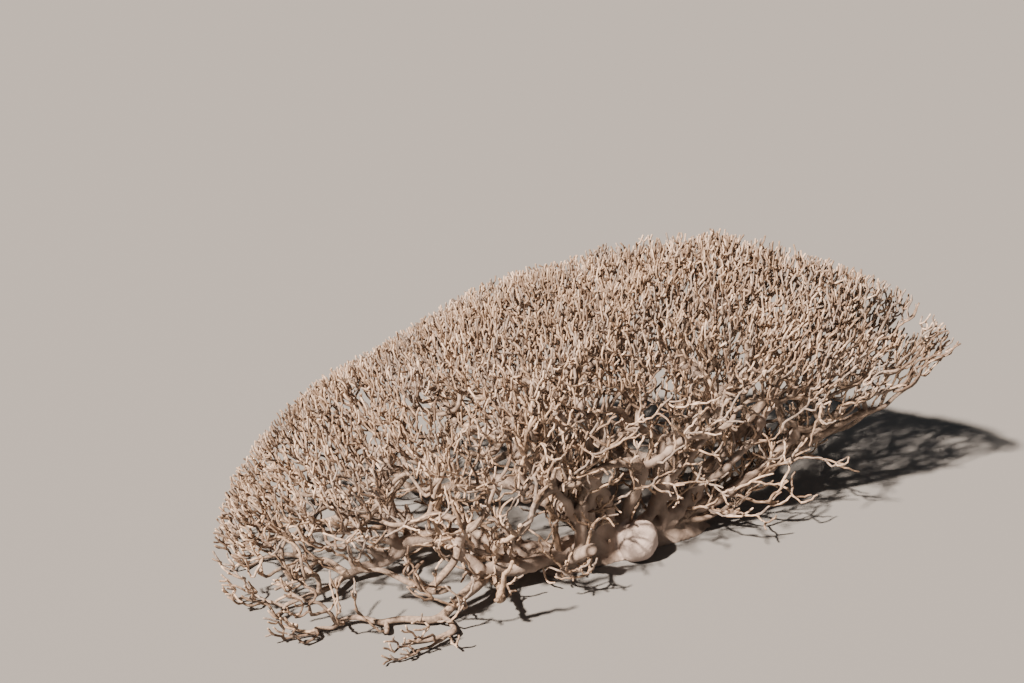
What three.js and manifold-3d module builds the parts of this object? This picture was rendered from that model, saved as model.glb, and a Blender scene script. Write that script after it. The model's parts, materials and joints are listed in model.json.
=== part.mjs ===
// Balsam spurge, a leafless succulent shrub with a low, broad, sprawling crown.
// Millimetres, +Z up. The origin is at ground level, inside the flat cut of the trunk.
// The crown's surface is shared out in patches, one to each limb. Every fork halves
// its limb's patch, so the twigs end evenly spread over the whole crown.

import * as THREE from 'three';
import { mergeVertices } from 'three/addons/utils/BufferGeometryUtils.js';
import Module from 'manifold-3d';

// Crown: lower edge at twelve stations round the shrub, and the highest point
const RIM = [
  [1090, 440, 540],
  [950, 750, 260],
  [420, 1080, 140],
  [-440, 980, 150],
  [-920, 610, 150],
  [-1240, 120, 80],
  [-1040, -440, 40],
  [-640, -600, 40],
  [-160, -170, 530],
  [270, 0, 490],
  [700, 240, 420],
  [970, 420, 460],
];
const APEX = [280, 420, 885];
const DOME_POWER = 1.7;
const DOME_POWER_PER_RIM_HEIGHT = -0.0004;

// Lumps of the crown: height, number round it, lean with the radius, and number along it
const LUMP = 22;
const LUMPS_ROUND = 7;
const LUMP_LEAN = 5;
const LUMPS_ALONG = 2.5;

// Limbs: they leave the trunk at a share of the straight slope, and turn up at their ends
const LAUNCH_HEART = 1.05;
const LAUNCH_RIM = 0.65;
const LOW_PULL = 0.38;
const HIGH_PULL = 0.36;
const TIP_LEAN = 0.95;

// Boughs: three inside the crown, seven round it between these shares of a turn
const HEART_BOUGHS = 3;
const HEART_SHARE = 0.22;
const HEART_TURN = 0.7;
const RING_TURNS = [0, 0.125, 0.25, 0.375, 0.5, 0.6, 0.8, 1];
const HEART_KEY = 100;
const RING_KEY = 108;

// Forks: how far below the crown's surface a limb forks, and how thick it is there
const FINEST_PATCH = 16.5;
const FORK_DEPTH = 55;
const FORK_DEPTH_POWER = 0.8;
const FIRST_FORK = 130;
const FORK_STEP = 0.12;
const FORK_STEP_PER_SIZE = 0.35;
const LATEST_FORCED_FORK = 0.6;
const FORK_SCATTER = 0.03;
const TIP_SCATTER = 0.05;
const CUT_SCATTER = 0.16;
const SHAKE = 0.7;
const SHAKE_LIMIT = 85;
const TWIG_RADIUS = 2.7;
const LIMB_RADIUS = 25;
const LIMB_PATCH = 450;
const LIMB_POWER = 1.25;
const GROUND_CLEAR = 8;

// Patches smaller than these end a bough, or end a twig
const MASS_PATCH = 320;
const TIP_PATCH = 68;

// Trunk: a low bar between two feet, with a waist, a swollen knob and broken stubs
const TRUNK_LEFT = [-165, -60, 50];
const TRUNK_RIGHT = [225, 190, 55];
const TRUNK_REACH = 70;
const TRUNK_SPREAD = 1000;
const TRUNK_LIFT = 38;
const TRUNK_HALF_WIDTH = 60;
const TRUNK_HEIGHT = 82;
const TRUNK_WAIST = 0.5;
const TRUNK_TOP_SHARE = 0.62;
const TRUNK_TOP_LENGTH_SHARE = 0.75;
const TRUNK_ROUND_FROM = 0.6;
const TRUNK_ROUND_TO = 1.06;
const FLARE = 0.3;
const FLARE_POWER = 2.2;
const FLARE_LOBES = [{ count: 7, depth: 0.35, from: 1.3 }, { count: 3, depth: 0.2, from: 0 }];
const LEAN = [14, 12];
const KNOB = { at: [46, 4, 62], radii: [66, 62, 62] };
const STUBS = [
  { from: [-131, -66, 40], to: [-127, -104, 240], radius: 16 },
  { from: [-158, -76, 45], to: [-99, -176, 130], radius: 17 },
];
const STUB_SWELL = 1.3;

// Facets and clearances
const GAP = 0.3;
const BOUGH_SIDES = 8;
const SIDE_BOUGH_SIDES = 7;
const TWIG_SIDES = 3;
const STUB_SIDES = 7;
const TRUNK_SIDES = 28;
const TRUNK_LEVELS = 6;
const KNOB_SIDES = 18;
const KNOB_LEVELS = 12;
const RING_SPACING = 95;
const SMALLEST_EDGE = 1;

// Limbs: the collar each starts from, and the room it needs
const ROOT_SWELL = 1.1;
const SIDE_SWELL = 1.05;
const ROOT_DEPTH = 0.4;
const COLLAR = 50;
const CLEAR_STEP = 12;
const SETTLE_ROUNDS = 30;
const SHORTEST_LIMB = 45;

// Twigs: stem, thickness over life, and how far they move aside for other pieces
const STEM_SHARE = 0.2;
const SHORTEST_STEM = 60;
const STEM_BEND = 0.4;
const TWIG_SWELL = 1.45;
const TWIG_TIP_SHARE = 0.72;
const FORK_NECK = 0.5;
const DODGES = [18, 36, 60];

const wasm = await Module();
wasm.setup();

// Numbers that look random but are the same for the same limb every time
function chance(key, draw) {
  const s = Math.sin(key * 12.9898 + draw * 78.233) * 43758.5453;
  return s - Math.floor(s);
}

function vector(list) {
  return new THREE.Vector3(...list);
}

// Crown surface
const rimStations = RIM.map(vector);
const apex = vector(APEX);

function rimPoint(turn) {
  const count = rimStations.length;
  const place = (turn - Math.floor(turn)) * count;
  const index = Math.floor(place);
  const f = place - index;
  const [p0, p1, p2, p3] = [-1, 0, 1, 2].map((k) => rimStations[(index + k + count) % count]);
  const point = p1.clone().multiplyScalar(2 * f ** 3 - 3 * f * f + 1);
  point.addScaledVector(p2.clone().sub(p0), (f ** 3 - 2 * f * f + f) / 2);
  point.addScaledVector(p2, 3 * f * f - 2 * f ** 3);
  point.addScaledVector(p3.clone().sub(p1), (f ** 3 - f * f) / 2);
  return point;
}

function crownPoint(area, turn) {
  const across = Math.sin(Math.sqrt(area) * Math.PI / 2);
  const edge = rimPoint(turn);
  const power = DOME_POWER + DOME_POWER_PER_RIM_HEIGHT * edge.z;
  const rise = Math.max(0, 1 - across ** power) ** (1 / power);
  const point = apex.clone().lerp(edge, across);
  point.z = edge.z + (apex.z - edge.z) * rise;
  const round = Math.sin(2 * Math.PI * LUMPS_ROUND * turn + LUMP_LEAN * across);
  const lump = LUMP * round * Math.sin(Math.PI * LUMPS_ALONG * across);
  return point.addScaledVector(tipDirection(area, turn), lump);
}

// Direction in which the outermost twigs point
function tipDirection(area, turn) {
  const out = rimPoint(turn).sub(apex).setZ(0).normalize();
  return out.multiplyScalar(TIP_LEAN * area).setZ(1).normalize();
}

// Place on the trunk where the limb for a crown point springs: steep limbs higher up
function springPoint(point) {
  const left = vector(TRUNK_LEFT);
  const axis = vector(TRUNK_RIGHT).sub(left);
  const middle = left.clone().addScaledVector(axis, 0.5);
  const aside = point.clone().sub(middle).dot(axis) / axis.length() / TRUNK_SPREAD;
  const spring = left.addScaledVector(axis, 0.5 + 0.5 * THREE.MathUtils.clamp(aside, -1, 1));
  const out = point.clone().sub(spring).setZ(0);
  const steep = (point.z - spring.z) / point.distanceTo(spring);
  spring.addScaledVector(out, TRUNK_REACH * (1 - steep) / Math.max(out.length(), TRUNK_REACH));
  spring.z += TRUNK_LIFT * steep;
  return spring;
}

// Path from the trunk to a crown point: it leaves low and turns up to the light
function limbPath(area, turn) {
  const end = crownPoint(area, turn);
  const start = springPoint(end);
  const span = end.clone().sub(start);
  const length = span.length();
  const flat = Math.hypot(span.x, span.y);
  const rise = Math.atan2(span.z, flat) * (LAUNCH_HEART + (LAUNCH_RIM - LAUNCH_HEART) * area);
  const out = new THREE.Vector3(span.x, span.y, 0).divideScalar(Math.max(flat, 1e-3));
  const low = start.clone().addScaledVector(out, LOW_PULL * length * Math.cos(rise));
  low.z += LOW_PULL * length * Math.sin(rise);
  const high = end.clone().addScaledVector(tipDirection(area, turn), -HIGH_PULL * length);
  return { curve: new THREE.CubicBezierCurve3(start, low, high, end), length };
}

// Growth: one record for each fork or tip
function grow(patch, key, before, reached) {
  const [a0, a1, w0, w1] = patch;
  const area = (a0 + a1) / 2;
  const turn = (w0 + w1) / 2;
  const middle = crownPoint(area, turn);
  const [inner, outer] = [a0, a1].map((edge) => crownPoint(edge, turn));
  const [left, right] = [w0, w1].map((edge) => crownPoint(area, edge));
  const radial = outer.distanceTo(middle) + middle.distanceTo(inner);
  const across = right.distanceTo(middle) + middle.distanceTo(left);
  const slant = outer.sub(inner).normalize().cross(right.sub(left).normalize()).length();
  const size = Math.sqrt(radial * across * slant / Math.PI);
  const isTip = size < TIP_PATCH;
  const path = limbPath(area, turn);
  const depth = FORK_DEPTH * (size / FINEST_PATCH) ** FORK_DEPTH_POWER;
  const step = (reached + FORK_STEP_PER_SIZE * size) / path.length;
  const least = Math.max(before + FORK_STEP * (1 - before), Math.min(LATEST_FORCED_FORK, step));
  let share = Math.max(1 - depth / path.length, least);
  share = Math.min(1, share * (1 + FORK_SCATTER * (chance(key, 1) - 0.5)));
  if (isTip) {
    share = 1 - TIP_SCATTER * chance(key, 5);
  }
  const point = path.curve.getPoint(share);
  const shake = size * SHAKE / (1 + size / SHAKE_LIMIT);
  point.x += (chance(key, 2) - 0.5) * shake;
  point.y += (chance(key, 3) - 0.5) * shake;
  point.z += (chance(key, 4) - 0.5) * shake;
  const radius = TWIG_RADIUS + LIMB_RADIUS * (size / LIMB_PATCH) ** LIMB_POWER;
  point.z = Math.max(point.z, radius + GROUND_CLEAR);
  const fork = { point, radius, size, path, share, forks: [] };
  if (isTip) {
    return fork;
  }
  const cut = 0.5 + CUT_SCATTER * (chance(key, 6) - 0.5);
  const areaCut = a0 + (a1 - a0) * cut;
  const turnCut = w0 + (w1 - w0) * cut;
  const halves = radial > across
    ? [[a0, areaCut, w0, w1], [areaCut, a1, w0, w1]]
    : [[a0, a1, w0, turnCut], [a0, a1, turnCut, w1]];
  const length = share * path.length;
  fork.forks = halves.map((half, index) => grow(half, key * 2 + index, share, length));
  return fork;
}

function boughForks() {
  const boughs = [];
  for (let i = 0; i < HEART_BOUGHS; i += 1) {
    const turns = [(i + HEART_TURN) / HEART_BOUGHS, (i + 1 + HEART_TURN) / HEART_BOUGHS];
    boughs.push(grow([0, HEART_SHARE, ...turns], HEART_KEY + i, 0, FIRST_FORK));
  }
  for (let i = 1; i < RING_TURNS.length; i += 1) {
    const turns = [RING_TURNS[i - 1], RING_TURNS[i]];
    boughs.push(grow([HEART_SHARE, 1, ...turns], RING_KEY + i - 1, 0, FIRST_FORK));
  }
  return boughs;
}

// Closed solids and their joins
function toSolid(geometry) {
  geometry.deleteAttribute('normal');
  geometry.deleteAttribute('uv');
  const merged = mergeVertices(geometry, 1e-3);
  return new wasm.Manifold(new wasm.Mesh({
    numProp: 3,
    vertProperties: new Float32Array(merged.attributes.position.array),
    triVerts: new Uint32Array(merged.index.array),
    tolerance: SMALLEST_EDGE,
  }));
}

function overlap(one, other) {
  return one.intersect(other).getMesh().triVerts.length > 0;
}

// Direction at each point of a line of points
function headingsOf(points) {
  return points.map((point, i) => {
    const next = points[Math.min(i + 1, points.length - 1)];
    const last = points[Math.max(i - 1, 0)];
    return next.clone().sub(last).normalize();
  });
}

// Cylinder bent along a line of points, its radius set at each of them
function tube(points, radii, sides, along = headingsOf(points)) {
  const rings = points.length - 1;
  const geometry = new THREE.CylinderGeometry(1, 1, 1, sides, rings);
  const across = [];
  let side = new THREE.Vector3(0.31, 0.87, 0.38);
  along.forEach((direction) => {
    side = side.clone().addScaledVector(direction, -side.dot(direction)).normalize();
    across.push([side, side.clone().cross(direction).negate()]);
  });
  const corner = geometry.attributes.position;
  for (let i = 0; i < corner.count; i += 1) {
    const ring = Math.round((corner.getY(i) + 0.5) * rings);
    const [first, second] = across[ring];
    const place = points[ring].clone();
    place.addScaledVector(first, corner.getX(i) * radii[ring]);
    place.addScaledVector(second, -corner.getZ(i) * radii[ring]);
    corner.setXYZ(i, place.x, place.y, place.z);
  }
  return toSolid(geometry);
}

// The largest closed body of a mesh, without loose scraps and sealed hollows
function largestBody(mesh) {
  const triangles = mesh.triVerts.length / 3;
  const group = Array.from({ length: mesh.vertProperties.length / 3 }, (_, i) => i);
  const find = (i) => {
    while (group[i] !== i) {
      group[i] = group[group[i]];
      i = group[i];
    }
    return i;
  };
  for (let t = 0; t < triangles; t += 1) {
    const [a, b, c] = mesh.triVerts.subarray(3 * t, 3 * t + 3);
    group[find(a)] = find(b);
    group[find(b)] = find(c);
  }
  const volumes = new Map();
  const corner = (i) => vector(mesh.vertProperties.subarray(3 * i, 3 * i + 3));
  for (let t = 0; t < triangles; t += 1) {
    const [a, b, c] = mesh.triVerts.subarray(3 * t, 3 * t + 3);
    const part = corner(a).dot(corner(b).cross(corner(c))) / 6;
    volumes.set(find(a), (volumes.get(find(a)) || 0) + part);
  }
  const largest = [...volumes].reduce((best, one) => (one[1] > best[1] ? one : best))[0];
  const kept = [];
  for (let t = 0; t < triangles; t += 1) {
    const three = mesh.triVerts.subarray(3 * t, 3 * t + 3);
    if (find(three[0]) === largest) {
      kept.push(...three);
    }
  }
  return { vertices: mesh.vertProperties, triangles: kept };
}

function toMesh(name, solid, material) {
  const { vertices, triangles } = largestBody(solid.getMesh());
  const geometry = new THREE.BufferGeometry();
  geometry.setAttribute('position', new THREE.BufferAttribute(new Float32Array(vertices), 3));
  geometry.setIndex(triangles);
  const flat = geometry.toNonIndexed();
  flat.computeVertexNormals();
  const mesh = new THREE.Mesh(flat, material);
  mesh.name = name;
  return mesh;
}

// The fork that goes on most nearly straight, and the one that turns aside
function straightAndSide(fork, from) {
  const heading = fork.point.clone().sub(from).normalize();
  const straightness = (next) => next.point.clone().sub(fork.point).normalize().dot(heading);
  const [one, other] = fork.forks;
  return straightness(one) >= straightness(other) ? [one, other] : [other, one];
}

// Solid of a limb's course between two lengths along it
function limbPiece(limb, from, to, swell) {
  const rings = Math.max(1, Math.round((to - from) / RING_SPACING));
  const points = [];
  const radii = [];
  const headings = [];
  for (let i = 0; i <= rings; i += 1) {
    const share = (from + (to - from) * i / rings) / limb.length;
    const t = Math.min(1, limb.curve.getUtoTmapping(Math.min(1, share)));
    const place = t * (limb.radii.length - 1);
    const index = Math.min(Math.floor(place), limb.radii.length - 2);
    points.push(limb.curve.getPoint(t));
    headings.push(limb.curve.getTangent(t));
    radii.push(swell + THREE.MathUtils.lerp(limb.radii[index], limb.radii[index + 1], place - index));
  }
  return tube(points, radii, limb.ringSides, headings);
}

// Collar that a side limb starts from, with those of its own sides that fork within it
function withCollar(body, side, swell) {
  const collar = body.add(limbPiece(side, 0, side.start, swell));
  return side.sides.filter((next) => next.forkAt <= side.start)
    .reduce((sum, next) => withCollar(sum, next, swell), collar);
}

// A limb's own length with the collars that its side limbs start from
function limbBody(limb, swell = 0) {
  const own = limbPiece(limb, limb.start + GAP, limb.length, swell);
  return limb.sides.filter((side) => side.forkAt > limb.start)
    .reduce((body, side) => withCollar(body, side, swell), own);
}

// A limb moves its start out, and one too short for that stays part of its host
function moveStart(limb) {
  limb.start = Math.min(limb.start + CLEAR_STEP, limb.length);
  if (limb.length - limb.start < SHORTEST_LIMB && limb.sides.length === 0) {
    limb.start = limb.length;
  }
}

function standsAlone(limb) {
  return limb.start < limb.length;
}

// Boughs and side boughs run from where they spring to where their mass begins
function traceLimb(points, radii, fork, ringSides, limbs) {
  const limb = { start: COLLAR, ringSides, sides: [] };
  limbs.push(limb);
  const forks = [];
  let here = fork;
  while (here.size >= MASS_PATCH) {
    const [straight, side] = straightAndSide(here, points[points.length - 1]);
    points.push(here.point);
    radii.push(here.radius);
    forks.push({ side, from: here.point, place: points.length - 1 });
    here = straight;
  }
  const reach = points[points.length - 1].distanceTo(here.point);
  const stem = Math.min(reach / 2, Math.max(SHORTEST_STEM, reach * STEM_SHARE));
  points.push(points[points.length - 1].clone().lerp(here.point, 1 - stem / reach));
  radii.push(here.radius);
  limb.curve = new THREE.CatmullRomCurve3(points);
  limb.length = limb.curve.getLength();
  limb.radii = radii;
  limb.mass = here;
  const lengths = limb.curve.getLengths();
  limb.sides = forks.map(({ side, from, place }) => {
    const next = traceLimb([from], [side.radius * SIDE_SWELL], side, SIDE_BOUGH_SIDES, limbs);
    next.forkAt = lengths[Math.round(place / (points.length - 1) * (lengths.length - 1))];
    return next;
  });
  return limb;
}

function traceBough(fork, limbs) {
  const spring = fork.path.curve.getPoint(0);
  const half = fork.path.curve.getPoint(fork.share / 2);
  const root = spring.clone().lerp(vector(TRUNK_LEFT).lerp(vector(TRUNK_RIGHT), 0.5), ROOT_DEPTH);
  root.z = spring.z;
  const swollen = ROOT_SWELL * fork.radius;
  return traceLimb([root, spring, half], [swollen, swollen, swollen], fork, BOUGH_SIDES, limbs);
}

// Trunk: lobed and flared at the ground, narrower and rounded at the top
function trunkCore() {
  const left = vector(TRUNK_LEFT);
  const right = vector(TRUNK_RIGHT);
  const middle = left.clone().lerp(right, 0.5).setZ(0);
  const axis = right.clone().sub(left).setZ(0);
  const halfLength = axis.length() / 2;
  const heading = axis.clone().normalize();
  const aside = new THREE.Vector3(-heading.y, heading.x, 0);
  const geometry = new THREE.CylinderGeometry(1, 1, 1, TRUNK_SIDES, TRUNK_LEVELS);
  const corner = geometry.attributes.position;
  for (let i = 0; i < corner.count; i += 1) {
    const level = corner.getY(i) + 0.5;
    const turn = Math.atan2(-corner.getZ(i), corner.getX(i));
    const lobe = FLARE_LOBES.reduce((sum, { count, depth, from }) => (
      sum + depth * Math.sin(count * turn + from)
    ), 1);
    const flare = 1 + FLARE * (1 - level) ** FLARE_POWER * lobe;
    const rounding = Math.max(0, (level - TRUNK_ROUND_FROM) / (TRUNK_ROUND_TO - TRUNK_ROUND_FROM));
    const round = Math.sqrt(1 - rounding ** 2);
    const width = TRUNK_HALF_WIDTH * (1 - (1 - TRUNK_TOP_SHARE) * level) * flare * round;
    const reach = width + halfLength * (1 - (1 - TRUNK_TOP_LENGTH_SHARE) * level) * round;
    const place = middle.clone();
    place.addScaledVector(heading, corner.getX(i) * reach + LEAN[0] * level);
    const waist = 1 - TRUNK_WAIST * (1 - corner.getX(i) ** 2);
    place.addScaledVector(aside, -corner.getZ(i) * width * waist + LEAN[1] * level);
    corner.setXYZ(i, place.x, place.y, TRUNK_HEIGHT * level);
  }
  return toSolid(geometry);
}

function knob() {
  const ball = new THREE.SphereGeometry(1, KNOB_SIDES, KNOB_LEVELS);
  ball.scale(...KNOB.radii);
  ball.translate(...KNOB.at);
  return toSolid(ball);
}

function stub({ from, to, radius }) {
  return tube([vector(from), vector(to)], [radius * STUB_SWELL, radius], STUB_SIDES);
}

function aboveGround() {
  const block = new THREE.BoxGeometry(4000, 4000, 2000);
  block.translate(0, 0, 1000);
  return toSolid(block);
}

function makeTrunk() {
  const core = STUBS.reduce((body, one) => body.add(stub(one)), trunkCore().add(knob()));
  const ground = aboveGround();
  const trunk = { sides: [] };
  trunk.body = (swell = 0) => (
    trunk.sides.reduce((body, side) => withCollar(body, side, swell), core).intersect(ground)
  );
  return trunk;
}

// Each limb starts far enough out that all of them stand clear of each other
function settleLimbs(trunk, limbs) {
  for (let round = 0; round < SETTLE_ROUNDS; round += 1) {
    const alone = limbs.filter(standsAlone);
    const bodies = [trunk.body(GAP), ...alone.map((limb) => limbBody(limb, GAP))];
    const touching = alone.filter((limb, index) => (
      bodies.slice(0, index + 1).some((body) => overlap(body, bodies[index + 1]))
    ));
    touching.forEach(moveStart);
    if (touching.length === 0) {
      return;
    }
  }
}

// Room for a twig: its end moves aside if the straight way would touch another piece
function findRoom(from, fork, radius, taken) {
  const heading = fork.point.clone().sub(from).normalize();
  const aside = new THREE.Vector3(0.3, 0.2, 0.93).cross(heading).normalize();
  const ends = [fork.point.clone()];
  DODGES.forEach((distance) => {
    for (let i = 0; i < 6; i += 1) {
      const way = aside.clone().applyAxisAngle(heading, i * Math.PI / 3);
      const end = fork.point.clone().addScaledVector(way, distance);
      end.z = Math.max(end.z, radius + GROUND_CLEAR);
      ends.push(end);
    }
  });
  const reach = [radius + 2 * GAP, radius + 2 * GAP];
  return ends.find((end) => !overlap(tube([from, end], reach, TWIG_SIDES), taken));
}

// Twigs of one mass: each goes on over its forks, and is left out where there is no room
function traceTwig(points, radii, fork, taken, twigs) {
  const forks = [];
  let here = fork;
  while (here) {
    const isTip = here.forks.length === 0;
    const from = points[points.length - 1];
    const radius = here.radius * TWIG_SWELL * (isTip ? TWIG_TIP_SHARE : 1);
    const room = findRoom(from, here, Math.max(radius, radii[radii.length - 1]), taken);
    if (!room) {
      break;
    }
    here.point.copy(room);
    points.push(here.point);
    radii.push(radius);
    if (isTip) {
      break;
    }
    const [straight, side] = straightAndSide(here, from);
    forks.push({ side, from: here.point, place: points.length });
    here = straight;
  }
  let count = points.length;
  const fat = () => tube(points.slice(0, count), radii.slice(0, count).map((r) => r + GAP), TWIG_SIDES);
  while (count > 1 && overlap(fat(), taken)) {
    count -= 1;
  }
  if (count < 2) {
    return;
  }
  twigs.push(tube(points.slice(0, count), radii.slice(0, count), TWIG_SIDES));
  forks.filter(({ place }) => place <= count).forEach(({ side, from }) => {
    traceTwig([from], [side.radius * TWIG_SWELL * FORK_NECK], side, taken, twigs);
  });
}

function growMass(limb, taken) {
  const tip = limb.curve.getPoint(1);
  const heading = limb.curve.getTangent(1);
  const reach = tip.distanceTo(limb.mass.point);
  const stem = [GAP, STEM_BEND * reach].map((distance) => tip.clone().addScaledVector(heading, distance));
  const radius = limb.radii[limb.radii.length - 1] * TWIG_SWELL;
  const twigs = [];
  traceTwig(stem, [radius, radius], limb.mass, taken, twigs);
  return twigs.reduce((body, twig) => body.add(twig));
}

// Assembly
const barkMaterial = new THREE.MeshStandardMaterial({ color: 0xa8978a, roughness: 0.85, metalness: 0 });
const twigMaterial = new THREE.MeshStandardMaterial({ color: 0xcdb99f, roughness: 0.8, metalness: 0 });

const trunk = makeTrunk();
const limbs = [];
trunk.sides = boughForks().map((fork) => traceBough(fork, limbs));
settleLimbs(trunk, limbs);

const shrub = new THREE.Group();
let taken = trunk.body();
shrub.add(toMesh('trunk', taken, barkMaterial));
let boughCount = 0;
let sideBoughCount = 0;
limbs.filter(standsAlone).forEach((limb) => {
  const body = limbBody(limb);
  const isBough = trunk.sides.includes(limb);
  const name = isBough ? `bough_${boughCount += 1}` : `side_bough_${sideBoughCount += 1}`;
  shrub.add(toMesh(name, body, barkMaterial));
  taken = taken.add(body);
});
limbs.forEach((limb, index) => {
  const mass = growMass(limb, taken);
  shrub.add(toMesh(`twig_mass_${index + 1}`, mass, twigMaterial));
  taken = taken.add(mass);
});

export default shrub;
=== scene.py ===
# Balsam spurge, leafless: twigs, boughs and trunk as they look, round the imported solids.
# Metres, +Z up, in the frame of the solids. The growth rule is that of the part's source.
import json
import math

import bpy
import numpy as np
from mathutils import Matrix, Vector
from mathutils.kdtree import KDTree

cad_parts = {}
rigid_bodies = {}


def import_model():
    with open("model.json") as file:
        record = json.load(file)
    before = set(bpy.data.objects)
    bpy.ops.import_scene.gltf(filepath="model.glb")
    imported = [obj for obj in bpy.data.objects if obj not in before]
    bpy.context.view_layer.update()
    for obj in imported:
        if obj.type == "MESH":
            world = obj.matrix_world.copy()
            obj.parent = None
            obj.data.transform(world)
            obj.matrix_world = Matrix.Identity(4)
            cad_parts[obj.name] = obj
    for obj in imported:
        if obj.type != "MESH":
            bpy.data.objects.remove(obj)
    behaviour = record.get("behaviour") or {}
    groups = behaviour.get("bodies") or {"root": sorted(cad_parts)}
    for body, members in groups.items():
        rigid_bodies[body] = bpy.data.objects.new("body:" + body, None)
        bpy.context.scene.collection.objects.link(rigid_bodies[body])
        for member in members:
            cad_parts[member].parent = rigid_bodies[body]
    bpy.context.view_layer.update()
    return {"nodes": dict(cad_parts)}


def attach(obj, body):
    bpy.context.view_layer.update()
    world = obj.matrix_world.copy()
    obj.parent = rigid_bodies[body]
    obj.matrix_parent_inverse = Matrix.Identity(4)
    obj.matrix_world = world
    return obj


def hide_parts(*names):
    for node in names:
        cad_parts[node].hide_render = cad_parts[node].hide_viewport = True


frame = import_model()

# Crown: lower edge at twelve stations round the shrub, and the highest point
RIM = np.array([
    (1.09, 0.44, 0.54),
    (0.95, 0.75, 0.26),
    (0.42, 1.08, 0.14),
    (-0.44, 0.98, 0.15),
    (-0.92, 0.61, 0.15),
    (-1.24, 0.12, 0.08),
    (-1.04, -0.44, 0.04),
    (-0.64, -0.60, 0.04),
    (-0.16, -0.17, 0.53),
    (0.27, 0.00, 0.49),
    (0.70, 0.24, 0.42),
    (0.97, 0.42, 0.46),
])
APEX = np.array((0.28, 0.42, 0.885))
DOME_POWER = 1.7
DOME_POWER_PER_RIM_HEIGHT = -0.4

# Lumps of the crown: height, number round it, lean with the radius, and number along it
LUMP = 0.022
LUMPS_ROUND = 7
LUMP_LEAN = 5
LUMPS_ALONG = 2.5

# Limbs: they leave the trunk at a share of the straight slope, and turn up at their ends
LAUNCH_HEART = 1.05
LAUNCH_RIM = 0.65
LOW_PULL = 0.38
HIGH_PULL = 0.36
TIP_LEAN = 0.95

# Boughs: three inside the crown, seven round it between these shares of a turn
HEART_BOUGHS = 3
HEART_SHARE = 0.22
HEART_TURN = 0.7
RING_TURNS = (0, 0.125, 0.25, 0.375, 0.5, 0.6, 0.8, 1)
HEART_KEY = 100
RING_KEY = 108

# Forks: how far below the crown's surface a limb forks, and how thick it is there
FINEST_PATCH = 0.0165
SHOOT_PATCH = 0.0150
FORK_DEPTH = 0.055
FORK_DEPTH_POWER = 0.8
FINE_BELOW = 0.068
FINE_DEPTH_POWER = 1.1
FIRST_FORK = 0.13
FORK_STEP = 0.12
FORK_STEP_PER_SIZE = 0.35
LATEST_FORCED_FORK = 0.6
FORK_SCATTER = 0.03
TIP_SCATTER = 0.6
CUT_SCATTER = 0.16
SHAKE = 0.7
SHAKE_LIMIT = 0.085
TWIG_RADIUS = 0.0025
LIMB_RADIUS = 0.025
LIMB_PATCH = 0.45
LIMB_POWER = 1.25
GROUND_CLEAR = 0.008

# Trunk: short and oblong, between two ends, with a swollen egg-shaped knob and broken stubs
TRUNK_LEFT = np.array((-0.165, -0.060, 0.050))
TRUNK_RIGHT = np.array((0.225, 0.190, 0.055))
TRUNK_MIDDLE = (TRUNK_LEFT + TRUNK_RIGHT) / 2
TRUNK_REACH = 0.07
TRUNK_SPREAD = 1.0
TRUNK_LIFT = 0.038
TRUNK_HALF_WIDTH = 0.060
TRUNK_HEIGHT = 0.082
TRUNK_WAIST = 0.5
TRUNK_TOP_SHARE = 0.62
TRUNK_TOP_LENGTH_SHARE = 0.75
TRUNK_ROUND_FROM = 0.6
TRUNK_ROUND_TO = 1.06
FLARE = 0.3
FLARE_POWER = 2.2
FLARE_LOBES = ((7, 0.35, 1.3), (3, 0.2, 0.0))
LEAN = (0.014, 0.012)
KNOB_AT = (0.046, 0.004, 0.062)
KNOB_RADII = (0.066, 0.062, 0.062)
KNOB_AXIS = (0.42, 0.10, 0.90)
KNOB_EGG = 1.07
STUBS = (
    ((-0.131, -0.066, 0.040), (-0.127, -0.104, 0.240), 0.016),
    ((-0.158, -0.076, 0.045), (-0.099, -0.176, 0.130), 0.017),
)
ROOT_SWELL = 1.1
ROOT_DEPTH = 0.4

# Rings of the trunk's core: points round it and levels up it
CORE_SIDES = 72
CORE_LEVELS = 24

# Kinds of twig, by the patch of crown that each ends in
BARK_PATCH = 0.20
OLD_PATCH = 0.045

# Shapes of twigs: length of a link, wobble and twist off the smooth line, knobbliness,
# swell at forks
BOUGH_SHAPE = (0.020, 0.06, 0.04, 0.02, 0.05)
OLD_SHAPE = (0.016, 0.09, 0.05, 0.04, 0.12)
SHOOT_SHAPE = (0.015, 0.13, 0.06, 0.05, 0.12)
SIDE_OUT = 0.45
TIP_UP = 1.0
TIP_SWAY = 1.1
CROOKED_BELOW = 0.06
CROOK = 0.5

# Ends of a limb: how much wider it is where it springs off another, how far the poles of its root
# and its tip lie out, and the rings that round off its tip: how far out and how wide
TWIG_FOOT = 1.12
BOUGH_FOOT = 1.08
ROOT_POLE = 0.5
TIP_POLE = 0.35
END_RINGS = (0.5, 0.85)
END_WIDTHS = (0.84, 0.48)

# Gaps: share of sprays of these sizes left out, and how much more from here to the crown's edge
GAP_PATCHES = (0.022, 0.085)
GAPS = 0.04
GAPS_FROM = 0.45
GAPS_AT_EDGE = 0.08

# Opening by the turn round the shrub, from the left end over the front to the right end: where it
# begins from middle to edge, and share of sprays left out
OPENING = np.array([
    (0.36, 1.00, 0.00),
    (0.41, 0.84, 0.15),
    (0.46, 0.78, 0.15),
    (0.50, 0.52, 0.20),
    (0.54, 0.30, 0.32),
    (0.58, 0.27, 0.45),
    (0.62, 0.30, 0.60),
    (0.64, 0.41, 0.60),
    (0.66, 0.60, 0.50),
    (0.68, 0.75, 0.45),
    (0.76, 0.75, 0.45),
    (0.82, 0.66, 0.42),
    (0.88, 0.58, 0.42),
    (0.93, 0.60, 0.38),
    (0.98, 0.80, 0.20),
    (1.00, 1.00, 0.00),
])
OPENING_FADE = 0.08

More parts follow.
